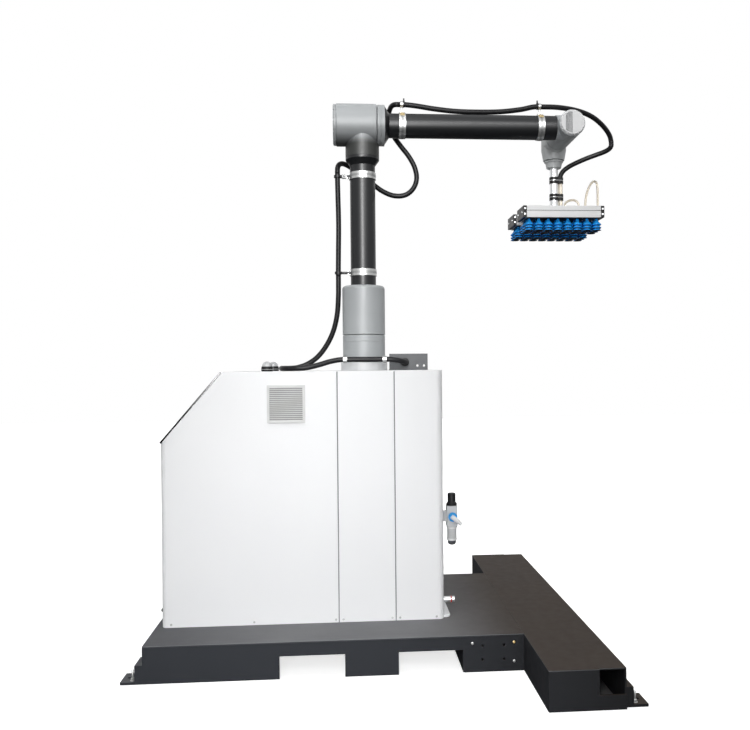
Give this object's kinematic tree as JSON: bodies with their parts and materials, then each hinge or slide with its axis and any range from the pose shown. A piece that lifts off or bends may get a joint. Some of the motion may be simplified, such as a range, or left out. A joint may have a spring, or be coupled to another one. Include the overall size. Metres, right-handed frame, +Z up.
{
  "type": "industrial robot arm",
  "caption": "Articulated arm with a suction gripper on a turning column, standing on a sheet cabinet and a fork-liftable steel base.",
  "frame": {"origin": "on the floor, on the middle skid of the base, under the turning axis of the column", "axes": "+Z up, +X along the forearm towards the gripper, -Y towards the viewer of the picture"},
  "size_m": [2.0639, 1.662, 2.3005],
  "materials": {
    "base_black": "black powder coat",
    "cabinet_white": "white powder coat",
    "arm_grey": "grey enamel",
    "tube_black": "satin black",
    "bright_metal": "machined",
    "clamp_metal": "brushed",
    "panel_black": "dark film",
    "grille_grey": "moulded",
    "black_plastic": "moulded",
    "bracket_grey": "dark grey",
    "unit_grey": "die cast",
    "valve_blue": "moulded",
    "hose_black": "smooth",
    "cup_blue": "moulded",
    "chamber_white": "anodised",
    "tube_clear": "translucent"
  },
  "bodies": {
    "stand": {"deck_plate": "base_black", "front_skirt": "base_black", "back_skirt": "base_black", "left_skirt": "base_black", "middle_skid": "base_black", "cross_wall": "base_black", "crossbar_shell": "base_black", "crossbar_ends": "base_black", "anchor_feet": "base_black", "cabinet_frame": "base_black", "front_panel_left": "cabinet_white", "front_panel_middle": "cabinet_white", "front_panel_right": "cabinet_white", "back_panels": "cabinet_white", "left_end_panel": "cabinet_white", "right_end_panel": "cabinet_white", "slope_panel": "cabinet_white", "top_panel": "cabinet_white", "foot_flange": "cabinet_white", "operator_panel": "panel_black", "vent_grille": "grille_grey", "lamp_bases": "black_plastic", "hose_fitting": "black_plastic", "regulator_knob": "black_plastic", "lamp_domes": "unit_grey", "air_inlet": "bright_metal", "pedestal_flange": "cabinet_white", "hose_bracket": "bracket_grey", "regulator_body": "unit_grey", "regulator_bowl": "unit_grey", "regulator_valve": "valve_blue", "base_housing": "arm_grey", "base_clips": "clamp_metal", "hose_base": "hose_black"},
    "column": {"turret": "arm_grey", "upper_tube": "tube_black", "upper_flare": "tube_black", "elbow_housing": "arm_grey", "elbow_cap": "arm_grey", "column_clamps": "clamp_metal", "hose_column": "hose_black", "hose_elbow": "hose_black"},
    "forearm": {"forearm_ring": "arm_grey", "forearm_flare": "tube_black", "forearm_tube": "tube_black", "forearm_clamps": "clamp_metal", "wrist_housing": "arm_grey", "wrist_cap": "arm_grey", "hose_forearm": "hose_black", "hose_wrist": "hose_black"},
    "wrist": {"tool_joint": "arm_grey"},
    "tool": {"tool_flange": "arm_grey", "gripper_post": "bright_metal", "post_straps": "black_plastic", "gripper_bridge": "bracket_grey", "vacuum_chambers": "chamber_white", "chamber_ends": "black_plastic", "suction_cups": "cup_blue", "vacuum_tubes": "tube_clear", "hose_tool": "hose_black"}
  },
  "joints": [
    {"name": "base_turn", "type": "hinge", "parent": "stand", "child": "column", "pos_m": [0, 0, 1.2955], "axis": [0, 0, 1], "range_deg": [-170, 170], "deforming": ["hose_base"]},
    {"name": "forearm_roll", "type": "hinge", "parent": "column", "child": "forearm", "pos_m": [0.0625, 0, 2.194], "axis": [1, 0, 0], "range_deg": [-90, 90], "deforming": ["hose_elbow"]},
    {"name": "wrist_tilt", "type": "hinge", "parent": "forearm", "child": "wrist", "pos_m": [0.895, 0.1515, 2.194], "axis": [0, 1, 0], "range_deg": [-90, 90], "deforming": ["hose_wrist"]},
    {"name": "tool_turn", "type": "hinge", "parent": "wrist", "child": "tool", "pos_m": [0.895, 0.232, 2.1085], "axis": [0, 0, 1], "range_deg": [-180, 180], "deforming": ["hose_tool"]}
  ]
}
